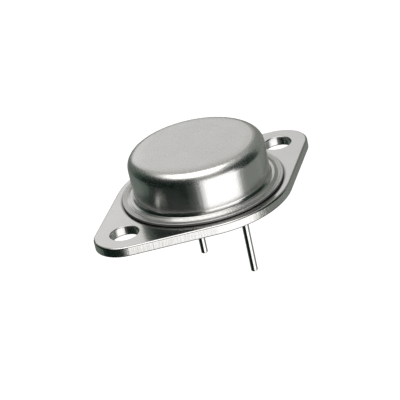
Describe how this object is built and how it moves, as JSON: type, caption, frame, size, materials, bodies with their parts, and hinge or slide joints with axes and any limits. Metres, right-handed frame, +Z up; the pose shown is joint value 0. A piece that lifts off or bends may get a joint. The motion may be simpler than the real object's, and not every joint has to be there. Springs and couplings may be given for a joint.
{
  "type": "power transistor",
  "caption": "Power transistor in a diamond metal can with a welded round cap, screw holes and straight leads through glass seals.",
  "frame": {"origin": "middle of the base plate's underside, the seating plane, halfway between the mounting holes", "axes": "+Z up through the cap, +X along the line of the mounting holes towards the side that the row of leads is nearer to, Y along the row of leads"},
  "size_m": [0.039, 0.026, 0.0202],
  "materials": {
    "plate_nickel": "satin nickel plate on steel",
    "cap_nickel": "smooth nickel plate on drawn steel",
    "lead_nickel": "bright nickel plate",
    "seal_glass": "dark glossy glass",
    "spreader_copper": "plain copper",
    "braze": "silver braze",
    "solder": "dull solder",
    "silicon": "polished silicon",
    "aluminium": "bright aluminium",
    "silicone": "translucent white silicone"
  },
  "bodies": {
    "root": {"base_plate": "plate_nickel", "cap": "cap_nickel", "emitter_lead": "lead_nickel", "base_lead": "lead_nickel", "emitter_seal": "seal_glass", "base_seal": "seal_glass", "heat_spreader": "spreader_copper", "spreader_braze": "braze", "silicon_die": "silicon", "die_solder": "solder", "emitter_contact": "aluminium", "base_contact": "aluminium", "emitter_wire_left": "aluminium", "emitter_wire_right": "aluminium", "base_wire": "aluminium", "die_coating": "silicone"}
  },
  "joints": []
}
